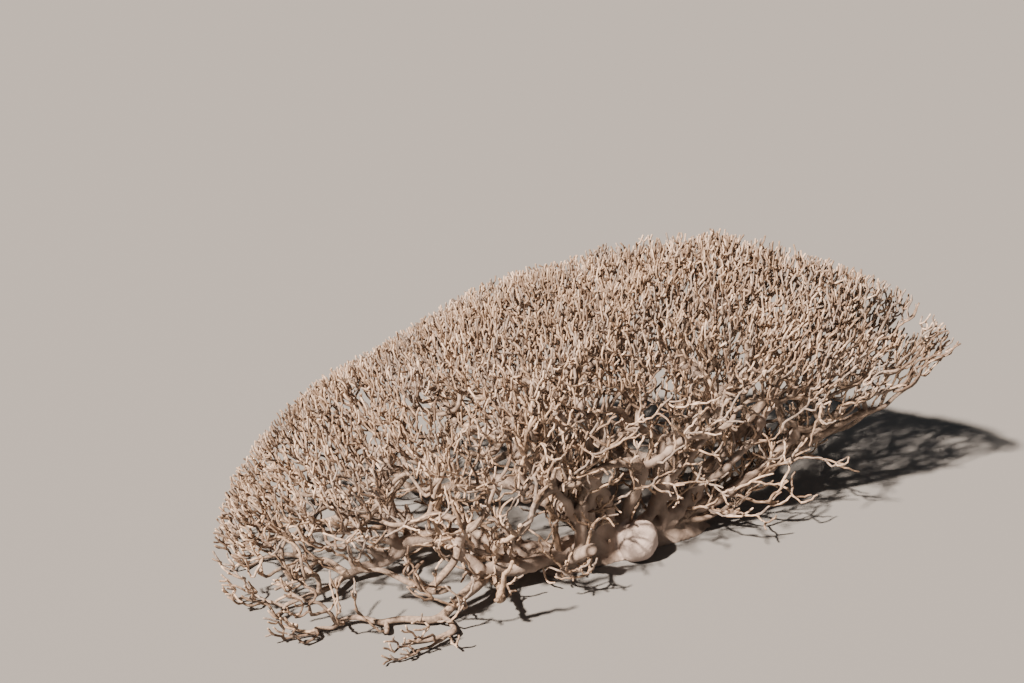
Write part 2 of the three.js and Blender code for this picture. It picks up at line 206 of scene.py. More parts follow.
# Keys of what grows along a limb: the first, and the step from one limb to the next
BOUGH_SIDE_KEYS = (700, 13)
OLD_SIDE_KEYS = (3000, 7)
FRONT_KEYS = (1500, 17)
STUB_KEYS = (500, 11)
INNER_KEYS = (8000, 29)
LOW_KEYS = (9000, 31)

# How a twig leaves a limb: lift towards the sky, and lean along the limb
OFF_LIFT = 0.35
OFF_LEAN = 0.5

# Side shoots: crooked twigs along boughs and older twigs, at these steps, that turn up and fork at
# most so many times; their roots stand off the middle of the limb by a share of its radius
BOUGH_SIDE_STEP = 0.045
BOUGH_SIDE_OFF = 0.7
BOUGH_SIDE_FORKS = 3
BOUGH_LENGTH_POWER = 1.5
OLD_SIDE_STEP = 0.19
OLD_SIDE_OFF = 0.5
OLD_SIDE_FORKS = 2
OLD_LENGTH_POWER = 2
OLD_SIDE_FROM = 0.0060
SIDE_LENGTHS = (0.05, 0.19)
SIDE_RADII = (0.0032, 0.0050)
SIDE_LINK = 0.022
SIDE_SWAY = 0.85
SIDE_RISE = 0.13
LEAST_RISE = 0.2

# Taper of a side shoot: at its root, at its end, and the least there as share of the thinnest one
SHOOT_ROOT = 1.1
SHOOT_END = 0.55
SHOOT_END_LEAST = 0.8

# Fork of a side shoot: how far along it is at least, the range past that, its angle, its arms with
# side and share of length and of thickness, and how often it has the second arm
FORK_FROM = 0.35
FORK_RANGE = 0.5
FORK_ANGLE = 0.8
FORK_ARMS = ((1, 0.8, 0.85), (-1, 0.65, 0.7))
SECOND_ARM = 0.6

# How far a side shoot may reach out past the crown's nearest twig
OVERHANG = 0.12

# Front branches: like the side shoots, but thicker, longer and with more forks
FRONT_STEP = 0.095
FRONT_DEPTH = 0.12
FRONT_FROM = 0.02
FRONT_OUT = np.array((0, -0.45, 0))
FRONT_LENGTHS = (0.12, 0.30)
FRONT_RADII = (0.005, 0.013)
FRONT_FORKS = 3

# Inner limbs behind the open front: middle-to-edge and turn of the crown point that each heads for,
# share of the way that it goes, radius at its root and end, points along it and how far each is
# shaken, and the branches at its end: how many, how far they spread, and their share of its radius
INNER_LIMBS = (
    (0.22, 0.580), (0.25, 0.603), (0.28, 0.625), (0.30, 0.643), (0.32, 0.770), (0.36, 0.840),
)
INNER_REACH = (0.62, 0.85)
INNER_RADII = (0.018, 0.007)
INNER_POINTS = 6
INNER_SHAKE = 0.045
INNER_ENDS = 4
INNER_SPREAD = 1.6
INNER_END_RADIUS = 0.9

# Low branches: two lie out to the right of the trunk and one stands on the tallest stub
LOW_BRANCHES = (
    ((0.200, 0.150, 0.075), (0.283, 0.202, 0.100),
     (0.370, 0.236, 0.104), (0.456, 0.278, 0.150), 0.0105),
    ((0.120, 0.120, 0.050), (0.190, 0.150, 0.060),
     (0.300, 0.190, 0.062), (0.391, 0.236, 0.085), 0.0085),
    ((-0.127, -0.100, 0.220), (-0.131, -0.110, 0.262),
     (-0.120, -0.113, 0.300), (-0.138, -0.118, 0.335), 0.008),
)
LOW_TAPER = (1.3, 0.8)

# Sprays near the ends of the low branches: how many, how far back they begin, how far ahead the
# last one points and how much less the ones before it, their share of the branch's radius, and
# their length as least share and range
LOW_SPRAYS = 7
LOW_BACK = 0.07
LOW_AHEAD = (0.9, 0.12)
LOW_SPRAY_RADIUS = 0.55
LOW_LENGTHS = (0.25, 0.5)

# Broken stubs along the boughs
STUB_STEP = 0.30
STUB_LENGTHS = (0.018, 0.055)
STUB_RADII = (0.008, 0.015)
STUB_FOOT = 1.3
STUB_TAPER = 0.3
STUB_RINGS = 8

# Relief of the bark: height and length of the rings round a limb and how they crowd and part, and
# height and waves to the metre of the lumps
RIDGE_HEIGHT = 0.0007
RIDGE_LENGTH = 0.021
RIDGE_DRIFT = 0.6
RIDGE_DRIFT_WAVES = 31
LUMP_HEIGHT = 0.0018
LUMP_WAVES = (71, 83, 59)
LUMP_BEND = 3
LUMP_BEND_WAVES = 37

# Softening of the forks in the bark
SOFT_FACTOR = 0.5
SOFT_STEPS = 3

# Fineness, and a direction that no limb takes at its root, from which the rings are turned
SHOOT_SIDES = 5
OLD_SIDES = 8
BARK_SIDES = 18
EGG_RINGS = 20
VOXEL = 0.0068
MOST_TRIANGLES = 195000
RING_TURN = (0.31, 0.87, 0.38)

# Colours of the shoots, dealt out by spray, each with the shade of its scars; the last one is
# painted
# shade: a dark brown that stands in for the shade inside the crown, for the thicker twigs there
SHOOT_TINTS = (
    ("shoot_cream", (0.46, 0.325, 0.23), 0.5),
    ("shoot_beige", (0.30, 0.21, 0.15), 0.5),
    ("shoot_pale", (0.60, 0.445, 0.335), 0.55),
    ("shoot_grey", (0.31, 0.245, 0.205), 0.55),
    ("shoot_painted_shade", (0.19, 0.13, 0.095), 0.5),
)
LIGHT_TINTS = len(SHOOT_TINTS) - 1
KEYS_TO_A_SPRAY = 8
# Painted shade: shoots that begin in patches wider than this, inside the crown, take the dark brown
# tint in this share of sprays
PAINTED_SHADE_FROM = 0.034
PAINTED_SHADE_SHARE = 0.6
# Old twigs: a darker brown, partly the tone of older wood and partly painted shade of the crown's
# inside
OLD_TINT_AND_SHADE = ("old_twig_and_painted_shade", (0.28, 0.21, 0.165), 0.55)

# Twig skin: roughness, ramp of the scars, scars and bumps to the metre, strength and depth of bumps
SPECULAR = 0.25
TWIG_ROUGHNESS = 0.78
SCAR_RAMP = (0.40, 0.60)
SCARS = 90
TWIG_BUMPS = 260
TWIG_BUMP = (0.5, 0.002)

# Bark: the same, and the knob's paler skin, which fades out between these shares of its radius
BARK_ROUGHNESS = 0.82
BARK_RAMP = (0.30, 0.62)
BARK_DARK = (0.18, 0.135, 0.11)
BARK_LIGHT = (0.35, 0.275, 0.23)
BARK_PATCHES = (14, 6)
BARK_BUMPS = (120, 5)
BARK_BUMP = (0.6, 0.003)
KNOB_COLOUR = (0.46, 0.37, 0.33)
KNOB_FADE = (1.15, 1.02)

# Studio: floor, world, sun and camera
FLOOR_HALF = 120
FLOOR_COLOUR = (0.19, 0.188, 0.186)
FLOOR_ROUGHNESS = 0.9
WORLD_COLOUR = (0.95, 0.97, 1.0)
WORLD_STRENGTH = 0.12
SUN_AT = (-2.8, -2.9, 3.8)
SUN_ANGLE = 3
SUN_STRENGTH = 18.5
SUN_COLOUR = (1.0, 0.85, 0.72)
CAMERA_AT = (-0.33, -3.97, 2.11)
CAMERA_DOWN = 19.64
CAMERA_VIEW = 38
CAMERA_SENSOR = 36


def chance(key, draw):
    """Numbers that look random but are the same for the same twig and draw every time"""
    s = np.sin(key * 12.9898 + draw * 78.233) * 43758.5453
    return s - np.floor(s)


def length(v):
    return np.linalg.norm(v, axis=-1, keepdims=True)


def unit(v):
    return v / np.maximum(length(v), 1e-9)


def sway(key, draw):
    return chance(key, draw + np.arange(3)) - 0.5


def between(limits, share):
    return limits[0] + (limits[1] - limits[0]) * share


# The crown's surface and the limbs' paths, as in the part's source

def rim_point(turn):
    count = len(RIM)
    place = (turn - np.floor(turn)) * count
    index = np.floor(place).astype(int)
    f = (place - index)[:, None]
    p0, p1, p2, p3 = (RIM[(index + k) % count] for k in (-1, 0, 1, 2))
    point = (2 * f**3 - 3 * f * f + 1) * p1 + (f**3 - 2 * f * f + f) * (p2 - p0) / 2
    return point + (3 * f * f - 2 * f**3) * p2 + (f**3 - f * f) * (p3 - p1) / 2


def crown_point(area, turn):
    across = np.sin(np.sqrt(area) * math.pi / 2)
    edge = rim_point(turn)
    power = DOME_POWER + DOME_POWER_PER_RIM_HEIGHT * edge[:, 2]
    rise = np.maximum(0, 1 - across**power) ** (1 / power)
    point = APEX + (edge - APEX) * across[:, None]
    point[:, 2] = edge[:, 2] + (APEX[2] - edge[:, 2]) * rise
    lump = LUMP * np.sin(2 * math.pi * LUMPS_ROUND * turn + LUMP_LEAN * across)
    lump *= np.sin(math.pi * LUMPS_ALONG * across)
    return point + tip_direction(area, turn) * lump[:, None]


def tip_direction(area, turn):
    out = rim_point(turn) - APEX
    out[:, 2] = 0
    out = unit(out) * (TIP_LEAN * area)[:, None]
    out[:, 2] = 1
    return unit(out)


def spring_point(point):
    axis = TRUNK_RIGHT - TRUNK_LEFT
    aside = (point - TRUNK_MIDDLE) @ axis / np.linalg.norm(axis) / TRUNK_SPREAD
    spring = TRUNK_LEFT + axis * (0.5 + 0.5 * np.clip(aside, -1, 1))[:, None]
    steep = (point - spring)[:, 2:] / length(point - spring)
    out = point - spring
    out[:, 2] = 0
    spring += out * TRUNK_REACH * (1 - steep) / np.maximum(length(out), TRUNK_REACH)
    spring[:, 2:] += TRUNK_LIFT * steep
    return spring


def path_point(area, turn, share):
    """Point at a share of the path from the trunk to a crown point, and the path's span"""
    end = crown_point(area, turn)
    start = spring_point(end)
    span = end - start
    reach = length(span)
    flat = length(span[:, :2])
    launch = LAUNCH_HEART + (LAUNCH_RIM - LAUNCH_HEART) * area[:, None]
    rise = np.arctan2(span[:, 2:], flat) * launch
    out = span / np.maximum(flat, 1e-6)
    out[:, 2] = 0
    low = start + LOW_PULL * reach * (out * np.cos(rise) + np.array((0, 0, 1)) * np.sin(rise))
    high = end - HIGH_PULL * reach * tip_direction(area, turn)
    t = share[:, None]
    u = 1 - t
    return u**3 * start + 3 * u * u * t * low + 3 * u * t * t * high + t**3 * end, reach[:, 0]


def first_patches():
    rows = []
    for i in range(HEART_BOUGHS):
        turns = ((i + HEART_TURN) / HEART_BOUGHS, (i + 1 + HEART_TURN) / HEART_BOUGHS)
        rows.append((0, HEART_SHARE, *turns, HEART_KEY + i))
    for i, turns in enumerate(zip(RING_TURNS, RING_TURNS[1:])):
        rows.append((HEART_SHARE, 1, *turns, RING_KEY + i))
    return np.array(rows, float)


def missing(rows, size):
    """Which sprays are left out, so that the crown opens towards its edge, most in front"""
    area = (rows[:, 0] + rows[:, 1]) / 2
    turn = (rows[:, 2] + rows[:, 3]) / 2 % 1
    edge = np.clip((area - GAPS_FROM) / (1 - GAPS_FROM), 0, 1)
    share = GAPS + edge * GAPS_AT_EDGE
    begins, most = (np.interp(turn, OPENING[:, 0], OPENING[:, k]) for k in (1, 2))
    share += most * np.clip((area - begins) / OPENING_FADE, 0, 1)
    return (chance(rows[:, 4], 9) < share) & (size > GAP_PATCHES[0]) & (size < GAP_PATCHES[1])


def grow():
    """Every fork and tip of the shrub as rows of arrays, a level of forks at a time"""
    rows = first_patches()
    parent = np.full(len(rows), -1)
    before = np.zeros(len(rows))
    reached = np.full(len(rows), FIRST_FORK)
    levels = []
    count = 0
    while len(rows):
        a0, a1, w0, w1, key = rows.T
        area = (a0 + a1) / 2
        turn = (w0 + w1) / 2
        middle = crown_point(area, turn)
        outward = crown_point(a1, turn) - crown_point(a0, turn)
        sideways = crown_point(area, w1) - crown_point(area, w0)
        slant = length(np.cross(unit(outward), unit(sideways)))
        radial = length(crown_point(a1, turn) - middle) + length(middle - crown_point(a0, turn))
        across = length(crown_point(area, w1) - middle) + length(middle - crown_point(area, w0))
        size = np.sqrt(radial * across * slant / math.pi)[:, 0]
        is_tip = size < SHOOT_PATCH
        span = path_point(area, turn, before)[1]
        depth = FORK_DEPTH * (size / FINEST_PATCH) ** FORK_DEPTH_POWER
        depth *= np.minimum(1, size / FINE_BELOW) ** (FINE_DEPTH_POWER - FORK_DEPTH_POWER)
        step = (reached + FORK_STEP_PER_SIZE * size) / span
        least = np.maximum(before + FORK_STEP * (1 - before), np.minimum(LATEST_FORCED_FORK, step))
        share = np.maximum(1 - depth / span, least)
        share = np.minimum(1, share * (1 + FORK_SCATTER * (chance(key, 1) - 0.5)))
        share = np.where(is_tip, 1 - TIP_SCATTER * chance(key, 5) * depth / span, share)
        point = path_point(area, turn, share)[0]
        shake = size * (SHAKE / (1 + size / SHAKE_LIMIT) + CROOK * (size < CROOKED_BELOW))
        point += (np.stack([chance(key, draw) for draw in (2, 3, 4)], 1) - 0.5) * shake[:, None]
        radius = TWIG_RADIUS + LIMB_RADIUS * (size / LIMB_PATCH) ** LIMB_POWER
        point[:, 2] = np.maximum(point[:, 2], radius + GROUND_CLEAR)
        levels.append({
            "point": point, "radius": radius, "size": size, "key": key, "parent": parent,
            "is_tip": is_tip, "up": tip_direction(area, turn), "spring": spring_point(middle),
            "half": path_point(area, turn, share / 2)[0],
        })
        cut = 0.5 + CUT_SCATTER * (chance(key, 6) - 0.5)
        by_area = (radial > across)[:, 0]
        inner, outer = rows.copy(), rows.copy()
        inner[:, 1] = np.where(by_area, a0 + (a1 - a0) * cut, a1)
        outer[:, 0] = np.where(by_area, a0 + (a1 - a0) * cut, a0)
        inner[:, 3] = np.where(by_area, w1, w0 + (w1 - w0) * cut)
        outer[:, 2] = np.where(by_area, w0, w0 + (w1 - w0) * cut)
        inner[:, 4] = key * 2
        outer[:, 4] = key * 2 + 1
        forks = ~is_tip
        rows = np.stack([inner[forks], outer[forks]], 1).reshape(-1, 5)
        stays = ~missing(rows, np.repeat(size[forks], 2) / math.sqrt(2))
        rows = rows[stays]
        parent = np.repeat(np.arange(len(key))[forks] + count, 2)[stays]
        before = np.repeat(share[forks], 2)[stays]
        reached = np.repeat((share * span)[forks], 2)[stays]
        count += len(key)
    return {name: np.concatenate([level[name] for level in levels]) for name in levels[0]}


def heading_into(tree):
    """Direction in which each fork is reached, and the child that goes on most nearly straight"""
    parent = tree["parent"]
    before = np.where(parent[:, None] >= 0, tree["point"][parent], tree["half"])
    heading = unit(tree["point"] - before)
    straight = np.full(len(parent), -1)
    best = np.full(len(parent), -2.0)
    for child in np.flatnonzero(parent >= 0):
        host = parent[child]
        straightness = heading[child] @ heading[host]
        if straightness > best[host]:
            best[host] = straightness
            straight[host] = child
    return heading, straight


# Twigs as rings of points, all in long arrays

def hermite(p, q, dp, dq, u):
    u = u[:, None]
    reach = np.linalg.norm(q - p)
    return ((2 * u**3 - 3 * u * u + 1) * p + (u**3 - 2 * u * u + u) * dp * reach
            + (3 * u * u - 2 * u**3) * q + (u**3 - u * u) * dq * reach)


def course(points, radii, first, last, key, shape):
    """Rings along a crooked smooth line through the points: centres and radii"""
    step, wobble, twist, knobbliness, fork_swell = shape
    chords = unit(np.diff(points, axis=0))
    headings = np.concatenate([[first], unit(chords[1:] + chords[:-1]), [last]])
    centres = [points[:1]]
    widths = [radii[:1] * (1 + fork_swell)]
    for i in range(len(points) - 1):
        reach = np.linalg.norm(points[i + 1] - points[i])
        count = max(2, round(reach / step))
        u = np.arange(1, count + 1) / count
        line = hermite(points[i], points[i + 1], headings[i], headings[i + 1], u)
        shake = (chance(key + i, np.arange(11, 17)) - 0.5) * 2
        line += reach * wobble * np.sin(math.pi * u)[:, None] * shake[:3]
        line += reach * twist * np.sin(2 * math.pi * u)[:, None] * shake[3:]
        width = radii[i] + (radii[i + 1] - radii[i]) * u
        from_fork = np.minimum(u, 1 - u) * reach / width
        swell = 1 + fork_swell * np.exp(-from_fork**2 / 2)
        knobble = 1 + knobbliness * 2 * (chance(key + i, 20 + np.arange(count)) - 0.5)
        width = width * swell * knobble
        line[:, 2] = np.maximum(line[:, 2], width)
        centres.append(line)
        widths.append(width)
    return np.concatenate(centres), np.concatenate(widths)


def round_end(centres, widths):
    """More rings that round off a twig's end"""
    heading = unit(centres[-1] - centres[-2])
    wide = widths[-1]
    ends = centres[-1] + heading * wide * np.array(END_RINGS)[:, None]
    return np.concatenate([centres, ends]), np.concatenate([widths, wide * np.array(END_WIDTHS)])


def ring_quads(first, sides):
    """Quads between each ring that begins at these points and the ring after it"""
    j = np.arange(sides)[None]
    k = (j + 1) % sides
    quads = np.stack([first + j, first + k, first + sides + k, first + sides + j], -1)
    return quads.reshape(-1, 4)


def pole_fans(low_pole, low_ring, high_pole, high_ring, sides):
    """Triangles that close a row of rings at both its ends"""
    j = np.arange(sides)[None]
    k = (j + 1) % sides
    return np.concatenate([
        np.stack([low_pole + 0 * j, low_ring + k, low_ring + j], -1).reshape(-1, 3),
        np.stack([high_pole + 0 * j, high_ring + j, high_ring + k], -1).reshape(-1, 3)])


def skin(twigs, sides):
    """Closed skin of many twigs, each a row of ring centres and radii: points, quads, triangles"""
    counts = np.array([len(widths) for _, widths in twigs])
    centres = np.concatenate([c for c, _ in twigs])
    widths = np.concatenate([w for _, w in twigs])
    starts = np.concatenate([[0], np.cumsum(counts)[:-1]])
    ends = starts + counts - 1
    after = np.arange(len(centres)) + 1
    after[ends] = ends
    before = np.arange(len(centres)) - 1
    before[starts] = starts
    along = unit(centres[after] - centres[before])
    side = np.zeros_like(along)
    side[starts] = unit(np.cross(along[starts], RING_TURN))
    for ring in range(1, counts.max()):
        rows = np.flatnonzero(counts > ring)
        here = starts[rows] + ring
        last = side[here - 1]
        side[here] = unit(last - along[here] * (last * along[here]).sum(1, keepdims=True))
    up = np.cross(along, side)
    angle = np.arange(sides) * 2 * math.pi / sides
    around = np.cos(angle)[None, :, None] * side[:, None]
    around = around + np.sin(angle)[None, :, None] * up[:, None]
    points = (centres[:, None] + around * widths[:, None, None]).reshape(-1, 3)
    quads = ring_quads(np.setdiff1d(np.arange(len(centres)), ends)[:, None] * sides, sides)
    poles = np.concatenate([centres[starts] - along[starts] * widths[starts, None] * ROOT_POLE,
                            centres[ends] + along[ends] * widths[ends, None] * TIP_POLE])
    pole = len(points) + np.arange(len(starts))[:, None]
    first, final = starts[:, None] * sides, ends[:, None] * sides
    fans = pole_fans(pole, first, pole + len(starts), final, sides)
    owner = np.repeat(np.arange(len(twigs)), counts)
    quad_owner = owner[quads[:, 0] // sides]
    fan_owner = np.tile(np.repeat(np.arange(len(twigs)), sides), 2)
    return np.concatenate([points, poles]), quads, fans, np.concatenate([quad_owner, fan_owner])


def make_object(name, points, quads, fans, materials, slots=None):
    mesh = bpy.data.meshes.new(name)
    mesh.vertices.add(len(points))
    mesh.vertices.foreach_set("co", points.astype(np.float32).ravel())
    mesh.loops.add(quads.size + fans.size)
    corners = np.concatenate([quads.ravel(), fans.ravel()])
    mesh.loops.foreach_set("vertex_index", corners.astype(np.int32))
    mesh.polygons.add(len(quads) + len(fans))
    loop_start = np.concatenate([np.arange(len(quads)) * 4, quads.size + np.arange(len(fans)) * 3])
    mesh.polygons.foreach_set("loop_start", loop_start.astype(np.int32))
    if slots is not None:
        mesh.polygons.foreach_set("material_index", slots.astype(np.int32))
    mesh.polygons.foreach_set("use_smooth", np.ones(len(loop_start), bool))
    for material in materials:
        mesh.materials.append(material)
    mesh.update(calc_edges=True)
    mesh.validate()
    piece = bpy.data.objects.new(name, mesh)
    bpy.context.scene.collection.objects.link(piece)
    return piece


def kind_of(size):
    return np.where(size >= BARK_PATCH, 0, np.where(size >= OLD_PATCH, 1, 2))


def trace_twigs(tree):
    """Twigs of each kind: rows of fork numbers from where each springs to where it ends"""
    heading, straight = heading_into(tree)
    kind = kind_of(tree["size"])
    parent = tree["parent"]
    traced = ([], [], [])
    for start in range(len(parent)):
        host = parent[start]
        if host >= 0 and straight[host] == start and kind[host] == kind[start]:
            continue
        row = [start]
        while straight[row[-1]] >= 0 and kind[straight[row[-1]]] == kind[start]:
            row.append(straight[row[-1]])
        traced[kind[start]].append(row)
    return traced, heading, straight


def twig_course(tree, row, heading, straight, shape):
    """Rings of one twig, from inside its host to its rounded end"""
    host = tree["parent"][row[0]]
    first = tree["point"][host]
    points = np.concatenate([[first], tree["point"][row]])
    goes_on = straight[host] == row[0]
    base = tree["radius"][host]
    if not goes_on:
        base = min(tree["radius"][row[0]] * TWIG_FOOT, base)
    radii = np.concatenate([[base], tree["radius"][row]])
    chord = unit(points[1] - points[0])
    if goes_on:
        leave = unit(chord + heading[host])
    else:
        aside = unit(chord - heading[host] * (chord @ heading[host]))
        leave = unit(chord + SIDE_OUT * aside)
    last = unit(points[-1] - points[-2])
    follower = straight[row[-1]]
    key = tree["key"][row[-1]]
    if follower >= 0:
        arrive = unit(last + heading[follower])
    else:
        arrive = unit(last + TIP_UP * tree["up"][row[-1]] + TIP_SWAY * sway(key, 51))
    centres, widths = course(points, radii, leave, arrive, tree["key"][row[0]], shape)
    return round_end(centres, widths)


# Crooked shoots and branches off the limbs

def sprout(point, heading, radius, reach, key, forks, made):
    """A crooked shoot that turns up, with forks that may fork again, and stays under the crown"""
    count = max(3, round(reach / (SIDE_LINK + 2 * radius)))
    fork_at = int(count * (FORK_FROM + FORK_RANGE * chance(key, 61)))
    line = [point]
    first = heading
    bend = SIDE_SWAY * math.sqrt(SIDE_RADII[0] / max(radius, SIDE_RADII[0]))
    for i in range(count):
        heading = unit(heading + bend * sway(key + i * 0.37, 62) + np.array((0, 0, SIDE_RISE)))
        if line[-1][2] + heading[2] * reach / count < radius + GROUND_CLEAR:
            heading = unit(heading * (1, 1, 0) + np.array((0, 0, LEAST_RISE)))
        step = line[-1] + heading * reach / count
        roof = tips[crown.find((step[0], step[1], 0))[1]]
        if i > 0 and (step[2] > roof[2] or np.linalg.norm(step[:2] - roof[:2]) > OVERHANG):
            break
        line.append(step)
        if i == fork_at and forks > 0:
            aside = unit(np.cross(heading, sway(key, 66)))
            for side, share, width in FORK_ARMS:
                if side > 0 or chance(key, 69) < SECOND_ARM:
                    thin = max(SIDE_RADII[0], radius * width)
                    sprout(step, unit(heading + side * FORK_ANGLE * aside), thin, reach * share,
                           key * 1.37 + side * 3.1, forks - 1, made)
    end = max(SHOOT_END_LEAST * SIDE_RADII[0], radius * SHOOT_END)
    radii = np.linspace(radius * SHOOT_ROOT, end, len(line))
    made.append(round_end(*course(np.array(line), radii, first, heading, key, SHOOT_SHAPE)))


def key_of(keys, number):
    return keys[0] + number * keys[1]


def sites(limb, step, key):
    """Places along a limb, about a step apart: point, direction of the limb, radius and a key"""
    centres, widths = limb
    run = np.concatenate([[0], np.cumsum(length(np.diff(centres, axis=0))[:, 0])])
    count = int(run[-1] / step + chance(key, 71))
    for i in range(count):
        at = run[-1] * (i + chance(key + i, 72)) / count
        ring = min(int(np.searchsorted(run, at)), len(run) - 2)
        yield centres[ring], unit(centres[ring + 1] - centres[ring]), widths[ring], key + i * 1.7


def off_limb(along, key):
    """Direction away from a limb, mostly on its upper side"""
    aside = sway(key, 75) * 2 + np.array((0, 0, OFF_LIFT))
    aside -= along * (aside @ along)
    return unit(unit(aside) + along * OFF_LEAN)


def side_shoots(boughs, old):
    made = []
    for number, limb in enumerate(boughs):
        places = sites(limb, BOUGH_SIDE_STEP, key_of(BOUGH_SIDE_KEYS, number))
        for point, along, radius, key in places:
            out = off_limb(along, key)
            reach = between(SIDE_LENGTHS, chance(key, 81) ** BOUGH_LENGTH_POWER)
            forks = int(chance(key, 82) * (BOUGH_SIDE_FORKS + 1))
            width = between(SIDE_RADII, chance(key, 83))
            sprout(point + out * radius * BOUGH_SIDE_OFF, out, width, reach, key, forks, made)
    for number, limb in enumerate(old):
        for point, along, radius, key in sites(limb, OLD_SIDE_STEP, key_of(OLD_SIDE_KEYS, number)):
            if radius > OLD_SIDE_FROM:
                out = off_limb(along, key)
                reach = between(SIDE_LENGTHS, chance(key, 81) ** OLD_LENGTH_POWER)
                root = point + out * radius * OLD_SIDE_OFF
                sprout(root, out, SIDE_RADII[0], reach, key, OLD_SIDE_FORKS, made)
    return made


def front_branches(boughs):
    """Crooked branches that fill the open front, from the boughs there"""
    made = []
    for number, limb in enumerate(boughs):
        for point, along, radius, key in sites(limb, FRONT_STEP, key_of(FRONT_KEYS, number)):
            if point[1] < FRONT_DEPTH and radius > FRONT_FROM:
                out = unit(off_limb(along, key) + FRONT_OUT)
                reach = between(FRONT_LENGTHS, chance(key, 81))
                width = between(FRONT_RADII, chance(key, 83))
                sprout(point, out, width, reach, key, FRONT_FORKS, made)
    return made


def inner_limbs():
    """Limbs that rise on a bough's path behind the open front, and the branches at their ends"""
    limbs, branches = [], []
    for number, (area, turn) in enumerate(INNER_LIMBS):
        key = key_of(INNER_KEYS, number)
        share = np.linspace(0, between(INNER_REACH, chance(key, 95)), INNER_POINTS)
        points = path_point(np.full(INNER_POINTS, area), np.full(INNER_POINTS, turn), share)[0]
        points += np.array([sway(key + i, 98) for i in range(INNER_POINTS)]) * INNER_SHAKE
        points[0, 2] = TRUNK_LIFT
        first, last = unit(points[1] - points[0]), unit(points[-1] - points[-2])
        radii = np.linspace(*INNER_RADII, INNER_POINTS)
        limbs.append(round_end(*course(points, radii, first, last, key, BOUGH_SHAPE)))
        for i in range(INNER_ENDS):
            out = unit(last + INNER_SPREAD * sway(key + i, 96))
            reach = between(FRONT_LENGTHS, chance(key + i, 97))
            width = INNER_RADII[1] * INNER_END_RADIUS
            sprout(points[-1], out, width, reach, key + i * 3.3, FRONT_FORKS, branches)
    return limbs, branches


def low_branches():
    """The three low branches and the sprays at their ends"""
    branches, sprays = [], []
    for number, (*points, radius) in enumerate(LOW_BRANCHES):
        points = np.array(points)
        first, last = unit(points[1] - points[0]), unit(points[-1] - points[-2])
        key = key_of(LOW_KEYS, number)
        radii = radius * np.linspace(*LOW_TAPER, len(points))
        centres, widths = course(points, radii, first, last, key, OLD_SHAPE)
        branches.append(round_end(centres, widths))
        for i in range(LOW_SPRAYS):
            back = int(len(centres) * LOW_BACK * i * i / 4)
            out = unit(off_limb(last, key + i) + last * (LOW_AHEAD[0] - LOW_AHEAD[1] * i))
            share = LOW_LENGTHS[0] + LOW_LENGTHS[1] * chance(key + i, 85)
            sprout(centres[len(centres) - 1 - back], out, radius * LOW_SPRAY_RADIUS,
                   between(SIDE_LENGTHS, share), key + i * 2.3, OLD_SIDE_FORKS, sprays)
    return branches, sprays


# Materials

def principled(name, roughness):
    material = bpy.data.materials.new(name)
    material.use_nodes = True
    nodes = material.node_tree.nodes
    shader = nodes["Principled BSDF"]
    shader.inputs["Roughness"].default_value = roughness
    shader.inputs["Specular IOR Level"].default_value = SPECULAR
    return material, nodes, material.node_tree.links, shader


def noise(nodes, links, scale, detail=3):
    node = nodes.new("ShaderNodeTexNoise")
    node.inputs["Scale"].default_value = scale
    node.inputs["Detail"].default_value = detail
    links.new(nodes.new("ShaderNodeTexCoord").outputs["Object"], node.inputs["Vector"])
    return node.outputs["Fac"]


def two_colours(nodes, links, height, positions, low, high):
    """Colour that goes from low to high as the height passes from one position to the other"""
    node = nodes.new("ShaderNodeValToRGB")
    for element, position, colour in zip(node.color_ramp.elements, positions, (low, high)):
        element.position = position
        element.color = (*colour, 1)
    links.new(height, node.inputs["Fac"])
    return node.outputs["Color"]


def add_bump(nodes, links, shader, height, strength, distance):
    node = nodes.new("ShaderNodeBump")
    node.inputs["Strength"].default_value = strength
    node.inputs["Distance"].default_value = distance
    links.new(height, node.inputs["Height"])
    links.new(node.outputs["Normal"], shader.inputs["Normal"])


def twig_material(name, colour, shade):
    """Matt twig skin: small darker scars on a plain colour, with a knobbly bump"""
    material, nodes, links, shader = principled(name, TWIG_ROUGHNESS)
    scar = [channel * shade for channel in colour]
    skin_colour = two_colours(nodes, links, noise(nodes, links, SCARS), SCAR_RAMP, scar, colour)
    links.new(skin_colour, shader.inputs["Base Color"])
    add_bump(nodes, links, shader, noise(nodes, links, TWIG_BUMPS), *TWIG_BUMP)
    return material


def split_pieces(name, twigs, sides, materials, tints):
    """Joined pieces of whole twigs, each under the triangle limit"""
    triangles = np.array([(len(w) - 1) * sides * 2 + sides * 2 for _, w in twigs])
    part = np.cumsum(triangles) // MOST_TRIANGLES
    made = []
    for number in range(part.max() + 1):
        rows = np.flatnonzero(part == number)
        points, quads, fans, owner = skin([twigs[r] for r in rows], sides)
        slots = tints[rows][owner]
        made.append(make_object(f"{name}_{number + 1}", points, quads, fans, materials, slots))
    print(name, len(made), "pieces", triangles.sum(), "triangles")
    return made


# Trunk and boughs: one skin over limbs, knob and stubs

